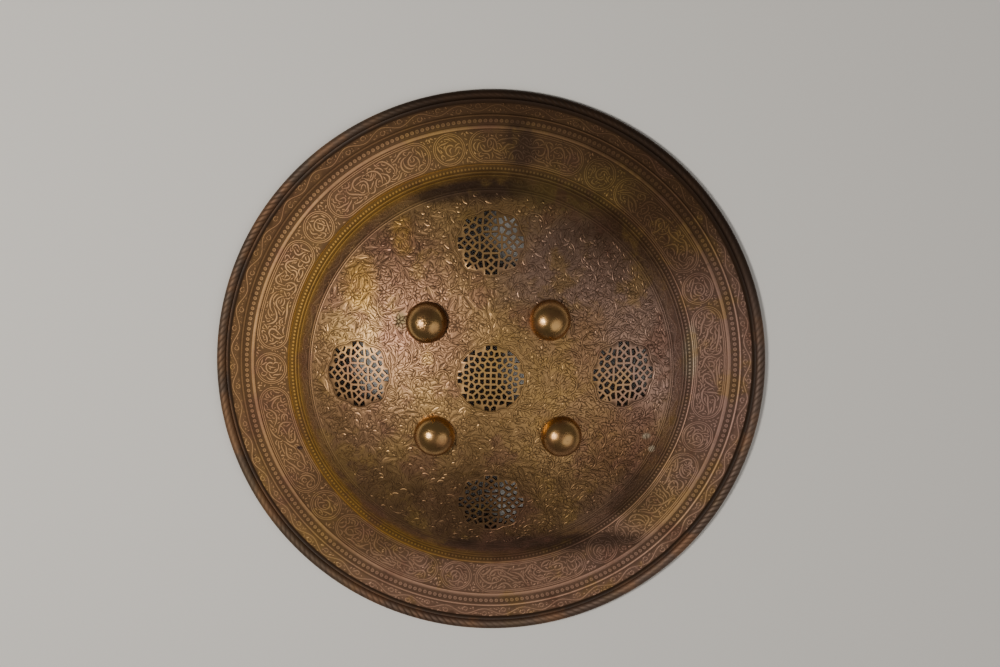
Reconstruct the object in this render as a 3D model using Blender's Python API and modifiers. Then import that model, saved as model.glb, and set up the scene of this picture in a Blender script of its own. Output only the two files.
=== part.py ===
"""Round brass shield of the Indo-Persian kind, lying rim down with its dome up.

One sheet of brass is worked into a low dome, a steep foot, a wide sloping brim and a rolled rim.
Five rosettes are pierced through the dome, and four hollow bosses are riveted between them.
The origin is the middle of the rim's resting plane. +Z runs up through the dome, and +Y points
at the top of the shield as it is held up. Everything is in metres.
"""

import math

import bmesh
import bpy
from mathutils import Quaternion, Vector

# Driving sizes of the sheet and its rolled rim
RIM_RADIUS = 0.230
RIM_WIDTH = 0.0078
RIM_HEIGHT = 0.0069
REST_WIDTH = 0.0044
WALL = 0.0015

# The ornamental bands of the brim, by width, from the rim inwards
COVE_WIDTH = 0.0023
BORDER_WIDTH = 0.0095
OUTER_RIDGE_WIDTH = 0.0023
BEAD_BAND_WIDTH = 0.0068
MIDDLE_RIDGE_WIDTH = 0.0035
MIDDLE_RIDGE_FLAT = 0.0016
MEDALLION_BAND_WIDTH = 0.0278
INNER_RIDGE_WIDTH = 0.0015
RIDGE_HEIGHT = 0.0007

# How the sheet rises from the rim to the crown
BRIM_EDGE_HEIGHT = 0.0034
BRIM_OUTER_SLOPE = math.radians(8.5)
BRIM_INNER_SLOPE = math.radians(11.0)
FOOT_WIDTH = 0.020
FOOT_RISE = 0.0159
DOME_SPHERE_RADIUS = 0.308

# Pierced rosettes: one on the crown, and four that stand in from the dome's edge
ROSETTE_RADIUS = 0.0286
ROSETTE_TO_DOME_EDGE = 0.0108
CUTTER_OVERLAP = 0.002

# The side of the dome that each rosette lies on, and how far it was set askew by hand, in degrees
ROSETTES = {
    "rosette_crown": (0, 0, -1.3),
    "rosette_top": (0, 1, 1.0),
    "rosette_bottom": (0, -1, -0.9),
    "rosette_left": (-1, 0, 0.8),
    "rosette_right": (1, 0, -1.2),
}

# Bosses, their shanks and the places where they are riveted
BOSS_RADIUS = 0.017
BOSS_HEIGHT = 0.0166
BOSS_FOOT_HEIGHT = 0.0014
BOSS_WALL = 0.0016
SHANK_RADIUS = 0.0026
SHANK_CLEARANCE = 0.0004
HEAD_WIDTH = 0.0022
HEAD_THICKNESS = 0.0016
SEAT_GAP = 0.0003
BOSS_PLACES = {
    "boss_upper_left": (-0.0520, 0.0450),
    "boss_upper_right": (0.0480, 0.0470),
    "boss_lower_left": (-0.0460, -0.0485),
    "boss_lower_right": (0.0575, -0.0495),
}

# How finely round shapes are cut into flat faces
SHEET_SEGMENTS = 36
BOSS_SEGMENTS = 12
ROUND_HOLE_SIDES = 5
DOME_RINGS = 5
FOOT_RINGS = 3
RIM_TOP_SEGMENTS = 4
RIM_LOWER_SEGMENTS = 2
BOSS_RINGS = 4

# One quarter of each pierced pattern, in shares of the rosette's radius. A hole is its number of
# sides, where it lies, its half length and half width, the way it points in degrees, and whether
# it comes back with the pattern's two axes swapped. A hole with four sides is a bar.
CROWN_LACE = (
    (3, 0.112, 0.868, 0.110, 0.108, -20, True),
    (3, 0.545, 0.717, 0.133, 0.070, 0, True),
    (4, 0.316, 0.720, 0.091, 0.042, -35, True),
    (3, 0.220, 0.542, 0.067, 0.077, 90, True),
    (3, 0.245, 0.360, 0.063, 0.084, -90, True),
    (4, 0.087, 0.252, 0.080, 0.033, 90, True),
    (ROUND_HOLE_SIDES, 0.542, 0.000, 0.084, 0.084, 0, True),
)
SIDE_LACE = (
    (3, 0.119, 0.871, 0.122, 0.115, -20, True),
    (3, 0.119, 0.626, 0.119, 0.077, 100, True),
    (3, 0.101, 0.399, 0.094, 0.087, -20, True),
    (3, 0.105, 0.234, 0.077, 0.087, -100, True),
    (4, 0.115, 0.000, 0.042, 0.042, 45, True),
    (ROUND_HOLE_SIDES, 0.357, 0.364, 0.080, 0.080, 0, False),
    (3, 0.500, 0.276, 0.086, 0.072, 100, False),
    (3, 0.626, 0.632, 0.105, 0.080, 45, False),
    (3, 0.449, 0.713, 0.074, 0.060, 85, False),
    (4, 0.301, 0.650, 0.105, 0.042, 75, False),
    (4, 0.724, 0.371, 0.119, 0.042, 90, False),
)

# Radii that follow from the widths
BRIM_OUTER_RADIUS = RIM_RADIUS - RIM_WIDTH - COVE_WIDTH
OUTER_RIDGE_RADIUS = BRIM_OUTER_RADIUS - BORDER_WIDTH
MIDDLE_RIDGE_RADIUS = OUTER_RIDGE_RADIUS - OUTER_RIDGE_WIDTH - BEAD_BAND_WIDTH
INNER_RIDGE_RADIUS = MIDDLE_RIDGE_RADIUS - MIDDLE_RIDGE_WIDTH - MEDALLION_BAND_WIDTH
BRIM_INNER_RADIUS = INNER_RIDGE_RADIUS - INNER_RIDGE_WIDTH
DOME_RADIUS = BRIM_INNER_RADIUS - FOOT_WIDTH
ROSETTE_PLACE_RADIUS = DOME_RADIUS - ROSETTE_TO_DOME_EDGE - ROSETTE_RADIUS


def brim_height(radius):
    """Front of the brim, whose slope steepens evenly from the rim to the foot."""
    inwards = BRIM_OUTER_RADIUS - radius
    outer_slope = math.tan(BRIM_OUTER_SLOPE)
    gain = (math.tan(BRIM_INNER_SLOPE) - outer_slope) / (BRIM_OUTER_RADIUS - BRIM_INNER_RADIUS)
    return BRIM_EDGE_HEIGHT + inwards * (outer_slope + gain * inwards / 2)


def dome_drop(radius):
    """How far the dome has fallen from its crown at this radius."""
    return DOME_SPHERE_RADIUS - math.sqrt(DOME_SPHERE_RADIUS**2 - radius**2)


DOME_EDGE_HEIGHT = brim_height(BRIM_INNER_RADIUS) + FOOT_RISE
CROWN_HEIGHT = DOME_EDGE_HEIGHT + dome_drop(DOME_RADIUS)


def foot_height(radius):
    """Front of the foot, an S-curve that leaves the dome and meets the brim at their own slopes."""
    dome_slope = -DOME_RADIUS / math.sqrt(DOME_SPHERE_RADIUS**2 - DOME_RADIUS**2)
    brim_slope = -math.tan(BRIM_INNER_SLOPE)
    t = (radius - DOME_RADIUS) / FOOT_WIDTH
    upper = (1 + 2 * t) * DOME_EDGE_HEIGHT + t * FOOT_WIDTH * dome_slope
    lower = (3 - 2 * t) * (DOME_EDGE_HEIGHT - FOOT_RISE) + (t - 1) * FOOT_WIDTH * brim_slope
    return (1 - t) ** 2 * upper + t**2 * lower


def front_height(radius):
    """Height of the sheet's front, without the raised ridges."""
    if radius <= DOME_RADIUS:
        return CROWN_HEIGHT - dome_drop(radius)
    if radius <= BRIM_INNER_RADIUS:
        return foot_height(radius)
    return brim_height(radius)


def back_point(radius):
    """A point of the underside, one wall thickness square in from the front at this radius."""
    step = 1e-5
    slope = (front_height(radius + step) - front_height(radius - step)) / (2 * step)
    length = math.hypot(slope, 1)
    return (radius + WALL * slope / length, front_height(radius) - WALL / length)


def spread(first, last, count):
    """Evenly spaced values from first to last, in so many steps."""
    return [first + (last - first) * i / count for i in range(count + 1)]


def ridge(outer_radius, width, flat_top=0.0):
    """A raised ring of the brim, from its inner side to its outer side. Its top is an edge or flat."""
    inner_radius = outer_radius - width
    middle = outer_radius - width / 2
    tops = [middle - flat_top / 2, middle + flat_top / 2] if flat_top else [middle]
    return (
        [(inner_radius, brim_height(inner_radius))]
        + [(radius, brim_height(radius) + RIDGE_HEIGHT) for radius in tops]
        + [(outer_radius, brim_height(outer_radius))]
    )


def rolled_rim():
    """The oval roll of the rim, cut flat below, from the brim's front over the top to its back."""
    half_width = RIM_WIDTH / 2
    middle = RIM_RADIUS - half_width
    flat_angle = math.acos(REST_WIDTH / RIM_WIDTH)
    half_height = RIM_HEIGHT / (1 + math.sin(flat_angle))
    centre_height = RIM_HEIGHT - half_height

    def on_oval(angle):
        return (middle + half_width * math.cos(angle), centre_height + half_height * math.sin(angle))

    def inner_angle(height):
        return math.pi - math.asin((height - centre_height) / half_height)

    angles = spread(inner_angle(BRIM_EDGE_HEIGHT), 0.0, RIM_TOP_SEGMENTS)
    angles += spread(0.0, -flat_angle, RIM_LOWER_SEGMENTS)[1:-1]
    flat = [(middle + REST_WIDTH / 2, 0.0), (middle - REST_WIDTH / 2, 0.0)]
    under = on_oval(inner_angle(BRIM_EDGE_HEIGHT - WALL))
    return [on_oval(angle) for angle in angles] + flat + [under]


def sheet_profile():
    """Half of the sheet's section: down the front, round the rim and back up the underside."""
    dome = spread(0.0, DOME_RADIUS, DOME_RINGS)
    foot = spread(DOME_RADIUS, BRIM_INNER_RADIUS, FOOT_RINGS)
    front = [(radius, front_height(radius)) for radius in dome + foot[1:-1]]
    front += ridge(INNER_RIDGE_RADIUS, INNER_RIDGE_WIDTH)
    front += ridge(MIDDLE_RIDGE_RADIUS, MIDDLE_RIDGE_WIDTH, MIDDLE_RIDGE_FLAT)
    front += ridge(OUTER_RIDGE_RADIUS, OUTER_RIDGE_WIDTH)
    front.append((BRIM_OUTER_RADIUS, BRIM_EDGE_HEIGHT))
    brim = [BRIM_OUTER_RADIUS, MIDDLE_RIDGE_RADIUS]
    back = [back_point(radius) for radius in brim + foot[::-1] + dome[-2:0:-1]]
    return front + rolled_rim() + back + [(0.0, CROWN_HEIGHT - WALL)]


def boss_profile():
    """Half of a boss's section: hollow cap, shank and peened head. Height 0 is the dome's front."""
    cavity_radius = BOSS_RADIUS - BOSS_WALL
    seat_height = SEAT_GAP - dome_drop(cavity_radius)
    springing = seat_height + BOSS_FOOT_HEIGHT
    head_radius = SHANK_RADIUS + HEAD_WIDTH
    head_height = -WALL - dome_drop(head_radius) - 2 * SEAT_GAP

    def arc(radius, top, angle):
        return (radius * math.cos(angle), springing + (top - springing) * math.sin(angle))

    outer = [arc(BOSS_RADIUS, BOSS_HEIGHT, angle) for angle in spread(math.pi / 2, 0.0, BOSS_RINGS)]
    shank_angle = math.acos(SHANK_RADIUS / cavity_radius)
    inner = [
        arc(cavity_radius, BOSS_HEIGHT - BOSS_WALL, angle)
        for angle in spread(0.0, shank_angle, BOSS_RINGS // 2)
    ]
    return (
        [(0.0, BOSS_HEIGHT)]
        + outer[1:]
        + [(BOSS_RADIUS, seat_height), (cavity_radius, seat_height)]
        + inner
        + [(SHANK_RADIUS, head_height), (head_radius, head_height)]
        + [(head_radius, head_height - HEAD_THICKNESS), (0.0, head_height - HEAD_THICKNESS)]
    )


def hole_outline(sides, x, y, half_length, half_width, degrees):
    """Corners of one pierced hole, in the rosette's own plane."""
    turn = math.radians(degrees)
    first = {3: 0.0, 4: math.pi / 4}.get(sides, math.pi / sides)
    reach = math.sqrt(2) if sides == 4 else 1.0
    corners = []
    for i in range(sides):
        angle = first + 2 * math.pi * i / sides
        along = half_length * reach * math.cos(angle)
        across = half_width * reach * math.sin(angle)
        corner_x = x + along * math.cos(turn) - across * math.sin(turn)
        corner_y = y + along * math.sin(turn) + across * math.cos(turn)
        corners.append((ROSETTE_RADIUS * corner_x, ROSETTE_RADIUS * corner_y))
    return corners


def lace_outlines(lace):
    """Every hole of a rosette: each quarter hole mirrored, and swapped across the diagonal if it asks."""
    outlines = []
    for sides, x, y, half_length, half_width, degrees, swapped in lace:
        quarter = [hole_outline(sides, x, y, half_length, half_width, degrees)]
        if swapped:
            quarter.append([(v, u) for u, v in quarter[0]])
        for outline in quarter:
            middle_x = sum(u for u, v in outline)
            middle_y = sum(v for u, v in outline)
            x_signs = (1, -1) if middle_x > ROSETTE_RADIUS / 100 else (1,)
            y_signs = (1, -1) if middle_y > ROSETTE_RADIUS / 100 else (1,)
            for x_sign in x_signs:
                for y_sign in y_signs:
                    outlines.append([(x_sign * u, y_sign * v) for u, v in outline])
    return outlines


def new_material(name, colour, roughness):
    material = bpy.data.materials.new(name)
    material.use_nodes = True
    shader = material.node_tree.nodes["Principled BSDF"]
    shader.inputs["Base Color"].default_value = (*colour, 1.0)
    shader.inputs["Metallic"].default_value = 1.0
    shader.inputs["Roughness"].default_value = roughness
    return material


def new_object(name, mesh, collection):
    thing = bpy.data.objects.new(name, mesh)
    collection.objects.link(thing)
    return thing


def profile_mesh(name, points, material):
    """An open outline in the XZ plane, for a Screw to turn about Z."""
    mesh = bpy.data.meshes.new(name)
    edges = [(i, i + 1) for i in range(len(points) - 1)]
    mesh.from_pydata([(radius, 0.0, height) for radius, height in points], edges, [])
    mesh.materials.append(material)
    return mesh


def turn_about_z(thing, segments):
    screw = thing.modifiers.new("Turned", "SCREW")
    screw.axis = "Z"
    screw.steps = segments
    screw.render_steps = segments
    screw.use_merge_vertices = True
    screw.merge_threshold = 0.00001
    screw.use_smooth_shade = True


def prism_mesh(name, outlines, half_length):
    """Closed prisms along Z through the given outlines, as one mesh."""
    curve = bpy.data.curves.new(name, "CURVE")
    curve.dimensions = "2D"
    curve.fill_mode = "BOTH"
    curve.extrude = half_length
    for outline in outlines:
        spline = curve.splines.new("POLY")
        spline.points.add(len(outline) - 1)
        for point, (x, y) in zip(spline.points, outline):
            point.co = (x, y, 0.0, 1.0)
        spline.use_cyclic_u = True
    guide = new_object(name, curve, bpy.context.scene.collection)
    graph = bpy.context.evaluated_depsgraph_get()
    mesh = bpy.data.meshes.new_from_object(guide.evaluated_get(graph))
    bpy.data.objects.remove(guide)
    welded = bmesh.new()
    welded.from_mesh(mesh)
    bmesh.ops.remove_doubles(welded, verts=welded.verts, dist=0.00001)
    bmesh.ops.recalc_face_normals(welded, faces=welded.faces)
    welded.to_mesh(mesh)
    welded.free()
    return mesh


def stand_on_dome(thing, x, y, degrees=0.0):
    """Puts an object's origin on the dome's front at this plan place, with its Z square to it."""
    normal = Vector((x, y, math.sqrt(DOME_SPHERE_RADIUS**2 - x * x - y * y))).normalized()
    turn = Quaternion((0.0, 0.0, 1.0), math.radians(degrees))
    thing.location = (x, y, CROWN_HEIGHT - dome_drop(math.hypot(x, y)))
    thing.rotation_mode = "QUATERNION"
    thing.rotation_quaternion = Vector((0.0, 0.0, 1.0)).rotation_difference(normal) @ turn


def cut_away(body, cutter):
    cutter.hide_render = True
    cutter.display_type = "WIRE"
    cut = body.modifiers.new(cutter.name, "BOOLEAN")
    cut.operation = "DIFFERENCE"
    cut.solver = "EXACT"
    cut.object = cutter


def build_plate(parts, cutters):
    """The sheet itself, pierced by the five rosettes and the four shank holes."""
    brass = new_material("aged_brass", (0.33, 0.21, 0.095), 0.42)
    plate = new_object("shield_plate", profile_mesh("plate_profile", sheet_profile(), brass), parts)
    turn_about_z(plate, SHEET_SEGMENTS)
    reach = WALL + dome_drop(ROSETTE_RADIUS) + CUTTER_OVERLAP
    crown_mesh = prism_mesh("crown_lace", lace_outlines(CROWN_LACE), reach)
    side_mesh = prism_mesh("side_lace", lace_outlines(SIDE_LACE), reach)
    for name, (side_x, side_y, degrees) in ROSETTES.items():
        mesh = side_mesh if side_x or side_y else crown_mesh
        cutter = new_object(name + "_holes", mesh, cutters)
        stand_on_dome(cutter, side_x * ROSETTE_PLACE_RADIUS, side_y * ROSETTE_PLACE_RADIUS, degrees)
        cut_away(plate, cutter)
    for name, (x, y) in BOSS_PLACES.items():
        bpy.ops.mesh.primitive_cylinder_add(
            vertices=BOSS_SEGMENTS,
            radius=SHANK_RADIUS + SHANK_CLEARANCE,
            depth=2 * (WALL + CUTTER_OVERLAP),
        )
        cutter = bpy.context.object
        cutter.name = name + "_hole"
        for collection in cutter.users_collection:
            collection.objects.unlink(cutter)
        cutters.objects.link(cutter)
        stand_on_dome(cutter, x, y)
        cut_away(plate, cutter)
    return plate


def build_bosses(parts, plate):
    brass = new_material("polished_brass", (0.45, 0.29, 0.12), 0.3)
    section = profile_mesh("boss_profile", boss_profile(), brass)
    for name, (x, y) in BOSS_PLACES.items():
        boss = new_object(name, section, parts)
        stand_on_dome(boss, x, y)
        turn_about_z(boss, BOSS_SEGMENTS)
        boss.parent = plate


def main():
    for thing in list(bpy.data.objects):
        bpy.data.objects.remove(thing)
    parts = bpy.data.collections.new("buckler_shield")
    cutters = bpy.data.collections.new("cutters")
    cutters.hide_render = True
    bpy.context.scene.collection.children.link(parts)
    bpy.context.scene.collection.children.link(cutters)
    plate = build_plate(parts, cutters)
    build_bosses(parts, plate)


main()
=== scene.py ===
"""Looks of a round engraved brass shield: its relief, patina, floor, light and camera.

The sheet is drawn in plan, as flat raised shapes kept clear of each other, and is then laid on
the shield's own form. Plan sizes are in millimetres, and meshes are made in metres.
"""

import math
import random

import bpy
import numpy as np
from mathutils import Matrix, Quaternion, Vector
from mathutils.geometry import delaunay_2d_cdt


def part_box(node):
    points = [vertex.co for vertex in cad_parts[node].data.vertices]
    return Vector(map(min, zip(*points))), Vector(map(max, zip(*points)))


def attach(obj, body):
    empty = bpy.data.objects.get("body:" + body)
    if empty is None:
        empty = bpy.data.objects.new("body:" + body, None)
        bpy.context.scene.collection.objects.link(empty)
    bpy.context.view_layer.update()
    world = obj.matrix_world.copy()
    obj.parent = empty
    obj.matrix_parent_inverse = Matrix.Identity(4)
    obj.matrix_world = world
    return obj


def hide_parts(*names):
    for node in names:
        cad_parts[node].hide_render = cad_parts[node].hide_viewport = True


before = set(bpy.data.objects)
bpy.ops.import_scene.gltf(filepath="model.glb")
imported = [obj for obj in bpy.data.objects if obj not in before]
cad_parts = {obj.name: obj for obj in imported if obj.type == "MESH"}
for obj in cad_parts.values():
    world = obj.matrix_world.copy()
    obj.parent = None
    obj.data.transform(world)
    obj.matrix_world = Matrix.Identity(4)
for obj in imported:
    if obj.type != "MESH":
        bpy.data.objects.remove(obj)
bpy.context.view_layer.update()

MM = 0.001
TURN = 2 * math.pi
RANDOM = random.Random(11)

# Sizes of the sheet, the same as the solid's, in millimetres
RIM_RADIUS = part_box("shield_plate")[1].x / MM
RIM_WIDTH = 7.8
RIM_HEIGHT = 6.9
REST_WIDTH = 4.4
WALL = 1.5
COVE_WIDTH = 2.3
BORDER_WIDTH = 9.5
OUTER_RIDGE_WIDTH = 2.3
BEAD_BAND_WIDTH = 6.8
MIDDLE_RIDGE_WIDTH = 3.5
MEDALLION_BAND_WIDTH = 27.8
INNER_RIDGE_WIDTH = 1.5
RIDGE_HEIGHT = 0.7
BRIM_EDGE_HEIGHT = 3.4
BRIM_OUTER_SLOPE = math.tan(math.radians(8.5))
BRIM_INNER_SLOPE = math.tan(math.radians(11.0))
FOOT_WIDTH = 20.0
FOOT_RISE = 15.9
DOME_SPHERE_RADIUS = 308.0
ROSETTE_RADIUS = 28.6
ROSETTE_TO_DOME_EDGE = 10.8
ROSETTES = ((0, 0, -1.3), (0, 1, 1.0), (0, -1, -0.9), (-1, 0, 0.8), (1, 0, -1.2))
BOSS_RADIUS = 17.0
BOSS_HEIGHT = 16.6
BOSS_FOOT_HEIGHT = 1.4
BOSS_WALL = 1.6
SHANK_RADIUS = 2.6
SHANK_CLEARANCE = 0.4
HEAD_WIDTH = 2.2
HEAD_THICKNESS = 1.6
SEAT_GAP = 0.3
BOSS_PLACES = {
    "boss_upper_left": (-52.0, 45.0),
    "boss_upper_right": (48.0, 47.0),
    "boss_lower_left": (-46.0, -48.5),
    "boss_lower_right": (57.5, -49.5),
}

BRIM_OUTER_RADIUS = RIM_RADIUS - RIM_WIDTH - COVE_WIDTH
OUTER_RIDGE_RADIUS = BRIM_OUTER_RADIUS - BORDER_WIDTH
BEAD_BAND_RADIUS = OUTER_RIDGE_RADIUS - OUTER_RIDGE_WIDTH
MIDDLE_RIDGE_RADIUS = BEAD_BAND_RADIUS - BEAD_BAND_WIDTH
MEDALLION_BAND_RADIUS = MIDDLE_RIDGE_RADIUS - MIDDLE_RIDGE_WIDTH
INNER_RIDGE_RADIUS = MEDALLION_BAND_RADIUS - MEDALLION_BAND_WIDTH
BRIM_INNER_RADIUS = INNER_RIDGE_RADIUS - INNER_RIDGE_WIDTH
DOME_RADIUS = BRIM_INNER_RADIUS - FOOT_WIDTH
ROSETTE_PLACE_RADIUS = DOME_RADIUS - ROSETTE_TO_DOME_EDGE - ROSETTE_RADIUS

# The chased relief, in millimetres
RELIEF_HEIGHT = 0.26
CREST_HEIGHT = 0.06
LEAF_TILT = 0.035
MIDRIB_FROM = 2.3
BEVEL = 0.24
CLEAR = 0.10
GROUND_SPACING = 1.05
CELL = 0.25
LINE_WIDTH = 0.55
BEAD_SIDES = 8
CIRCLE_POINTS = 360
RIM_POINTS = 1200
RIM_GADROONS = 240
GADROON_DEPTH = 0.24
GADROON_TWIST = 4.5

# Middles of the main holes of each pierced pattern in one quarter, in shares of the rosette's
# radius, and whether each comes back with the pattern's two axes swapped
CROWN_LACE = (
    (0.112, 0.868, True),
    (0.545, 0.717, True),
    (0.316, 0.720, True),
    (0.220, 0.542, True),
    (0.245, 0.360, True),
    (0.087, 0.252, True),
    (0.542, 0.000, True),
    (0.413, 0.510, True),
    (0.080, 0.080, False),
)
SIDE_LACE = (
    (0.119, 0.871, True),
    (0.119, 0.626, True),
    (0.101, 0.399, True),
    (0.105, 0.234, True),
    (0.115, 0.000, True),
    (0.357, 0.364, False),
    (0.500, 0.276, False),
    (0.626, 0.632, False),
    (0.449, 0.713, False),
    (0.301, 0.650, False),
    (0.724, 0.371, False),
)
STRAP_WIDTH = 1.8
HOLE_SPACING = 4.4
HOLE_REACH = 2.6
HOLE_SIDES = 8
HOLE_CORNERS = 1.7 * HOLE_REACH
NEIGHBOUR_REACH = 5 * HOLE_REACH
LACE_REACH = 0.92 * ROSETTE_RADIUS
LOBES = 8
LOBE_MIDDLE = 0.9
LOBE_DEPTH = 0.08
SNAP = 1.3
LEAST_SIDE = 0.4
LEAST_HOLE = 1.4
STRAP_BEVEL = 0.2
STRAP_LIFT = 0.2
EDGING_POINTS = 120
EDGING_WIDTH = 0.6
EDGING_HEIGHT = 0.16
EDGING_MARGIN = 1.6
EDGING_FALL = 0.3
SHANK_SIDES = 16


# The sheet's own form

def dome_drop(radius):
    """How far the dome has fallen from its crown at this radius."""
    inside = np.minimum(radius, 0.99 * DOME_SPHERE_RADIUS)
    return DOME_SPHERE_RADIUS - np.sqrt(DOME_SPHERE_RADIUS**2 - inside**2)


def brim_height(radius):
    """The brim's height, which steepens evenly from its outer edge to the foot."""
    inwards = BRIM_OUTER_RADIUS - radius
    gain = (BRIM_INNER_SLOPE - BRIM_OUTER_SLOPE) / (BRIM_OUTER_RADIUS - BRIM_INNER_RADIUS)
    return BRIM_EDGE_HEIGHT + inwards * (BRIM_OUTER_SLOPE + gain * inwards / 2)


FOOT_HEIGHT = brim_height(BRIM_INNER_RADIUS)
DOME_EDGE_HEIGHT = FOOT_HEIGHT + FOOT_RISE
CROWN_HEIGHT = DOME_EDGE_HEIGHT + float(dome_drop(DOME_RADIUS))


def foot_height(radius):
    """The foot's S-curve, which leaves the dome and meets the brim at their own slopes."""
    dome_slope = -DOME_RADIUS / math.sqrt(DOME_SPHERE_RADIUS**2 - DOME_RADIUS**2)
    t = (radius - DOME_RADIUS) / FOOT_WIDTH
    upper = (1 + 2 * t) * DOME_EDGE_HEIGHT + t * FOOT_WIDTH * dome_slope
    lower = (3 - 2 * t) * FOOT_HEIGHT - (t - 1) * FOOT_WIDTH * BRIM_INNER_SLOPE
    return (1 - t) ** 2 * upper + t**2 * lower


def front_height(radius):
    """Height of the sheet's front at this radius, from the dome out to the brim's edge."""
    outer = np.where(radius <= BRIM_INNER_RADIUS, foot_height(radius), brim_height(radius))
    return np.where(radius <= DOME_RADIUS, CROWN_HEIGHT - dome_drop(radius), outer)


def lay_on_sheet(plan, lift):
    """Plan points moved onto the sheet's front and raised square to it by their lift."""
    plan = np.asarray(plan, float)
    radius = np.hypot(plan[:, 0], plan[:, 1])
    step = 0.01
    slope = (front_height(radius + step) - front_height(radius - step)) / (2 * step)
    length = np.hypot(slope, 1)
    outwards = plan / np.maximum(radius, step)[:, None]
    shift = -slope * np.asarray(lift) / length
    placed = plan + outwards * shift[:, None]
    return np.column_stack((placed, front_height(radius) + lift / length))


# Outlines in plan

def polar(radius, angle, x=0.0, y=0.0):
    """The place at this distance and in this direction from (x, y)."""
    return (x + radius * math.cos(angle), y + radius * math.sin(angle))


def circle(radius, count, x=0.0, y=0.0):
    return [polar(radius, TURN * i / count, x, y) for i in range(count)]


LEAF = ((0.0, 0.0), (0.2, 0.62), (0.45, 1.0), (0.76, 0.5), (1.0, 0.0))
LAPPET = ((0.0, 0.3), (0.35, 0.6), (0.7, 1.0), (0.88, 0.6), (1.0, 0.0))
BLADE = ((0.0, 0.0), (0.34, 1.0), (0.72, 0.62), (1.0, 0.0))


def along_arc(root, heading, length, bend, distance):
    """The place and the heading at this distance along an arc that turns by bend over its length."""
    turned = bend * distance / length
    if abs(bend) < 0.001:
        return (root[0] + distance * math.cos(heading), root[1] + distance * math.sin(heading), heading)
    radius = length / bend
    x = root[0] + radius * (math.sin(heading + turned) - math.sin(heading))
    y = root[1] - radius * (math.cos(heading + turned) - math.cos(heading))
    return (x, y, heading + turned)


def leaf_outline(root, heading, length, width, bend, shape, grow=0.0):
    """A curved leaf in plan, grown all round by grow."""
    left, right = [], []
    for share, breadth in shape:
        distance = share * (length + 2 * grow) - grow
        x, y, angle = along_arc(root, heading, length, bend, distance)
        half = breadth * (width / 2 + grow)
        left.append((x - half * math.sin(angle), y + half * math.cos(angle)))
        right.append((x + half * math.sin(angle), y - half * math.cos(angle)))
    ends_in_point = shape[0][1] == 0.0
    return left + right[-2:0 if ends_in_point else None:-1]


def signed_breadths(shape):
    """How far each corner of a leaf's outline is to the left of its middle, in half widths."""
    breadths = [breadth for _, breadth in shape]
    last = 0 if breadths[0] == 0.0 else None
    return np.array(breadths + [-breadth for breadth in breadths[-2:last:-1]])


def path_sides(points, widths, closed):
    """The two sides of a strip of these widths along a line in plan."""
    line = np.array(points, float)
    if closed:
        along = np.roll(line, -1, axis=0) - np.roll(line, 1, axis=0)
    else:
        along = np.gradient(line, axis=0)
    along /= np.hypot(along[:, 0], along[:, 1])[:, None]
    across = np.column_stack((-along[:, 1], along[:, 0])) * (np.asarray(widths) / 2)[:, None]
    return (line + across).tolist(), (line - across).tolist()


def in_outline(outline, xs, ys):
    """Which of these points lie inside a closed outline."""
    ends = np.array(outline, float)
    starts = np.roll(ends, 1, axis=0)
    x0, y0 = starts[:, 0][:, None], starts[:, 1][:, None]
    x1, y1 = ends[:, 0][:, None], ends[:, 1][:, None]
    rise = np.where(y1 == y0, 1e-9, y1 - y0)
    crosses = ((y1 > ys) != (y0 > ys)) & (xs < (x1 - x0) * (ys - y0) / rise + x0)
    return np.count_nonzero(crosses, axis=0) % 2 == 1


class Ground:
    """A fine raster of the plan that remembers where something already stands."""

    def __init__(self, reach):
        self.reach = reach
        self.side = int(2 * reach / CELL)
        self.taken = np.zeros((self.side, self.side), bool)
        middles = (np.arange(self.side) + 0.5) * CELL - reach
        self.xs, self.ys = np.meshgrid(middles, middles)

    def cells(self, outline):
        corners = np.array(outline, float)
        low = np.floor((corners.min(0) + self.reach) / CELL).astype(int)
        high = np.ceil((corners.max(0) + self.reach) / CELL).astype(int) + 1
        rows, columns = slice(low[1], high[1]), slice(low[0], high[0])
        xs, ys = self.xs[rows, columns], self.ys[rows, columns]
        inside = in_outline(outline, xs.ravel(), ys.ravel()).reshape(xs.shape)
        return rows, columns, inside

    def is_free(self, outline):
        rows, columns, inside = self.cells(outline)
        return not (self.taken[rows, columns] & inside).any()

    def take(self, outline):
        rows, columns, inside = self.cells(outline)
        self.taken[rows, columns] |= inside

    def take_line(self, points, reach):
        """Marks a closed line, as wide as reach on both sides."""
        line = np.array(points, float)
        ahead = np.roll(line, -1, axis=0)
        shares = np.linspace(0.0, 1.0, 12, endpoint=False)[:, None, None]
        dense = (line + (ahead - line) * shares).reshape(-1, 2)
        steps = np.arange(-reach, reach + CELL / 2, CELL / 2)
        for dx in steps:
            for dy in steps:
                if dx * dx + dy * dy <= reach * reach:
                    columns = ((dense[:, 0] + dx + self.reach) / CELL).astype(int)
                    rows = ((dense[:, 1] + dy + self.reach) / CELL).astype(int)
                    self.taken[rows, columns] = True

    def take_rings(self, spans):
        radius = np.hypot(self.xs, self.ys)
        for low, high in spans:
            self.taken |= (radius >= low) & (radius < high)

    def open_points(self, spacing, inner, outer):
        """Shaken grid points between two radii that stand well clear of everything."""
        near = self.taken.copy()
        for shift in (-1, 1):
            near |= np.roll(self.taken, shift, axis=0) | np.roll(self.taken, shift, axis=1)
        rows = np.arange(-outer, outer, spacing)
        points = []
        for y in rows:
            for x in rows:
                px = x + RANDOM.uniform(-0.3, 0.3) * spacing
                py = y + RANDOM.uniform(-0.3, 0.3) * spacing
                if not inner < math.hypot(px, py) < outer:
                    continue
                if not near[int((py + self.reach) / CELL), int((px + self.reach) / CELL)]:
                    points.append((px, py))
        return points


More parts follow.
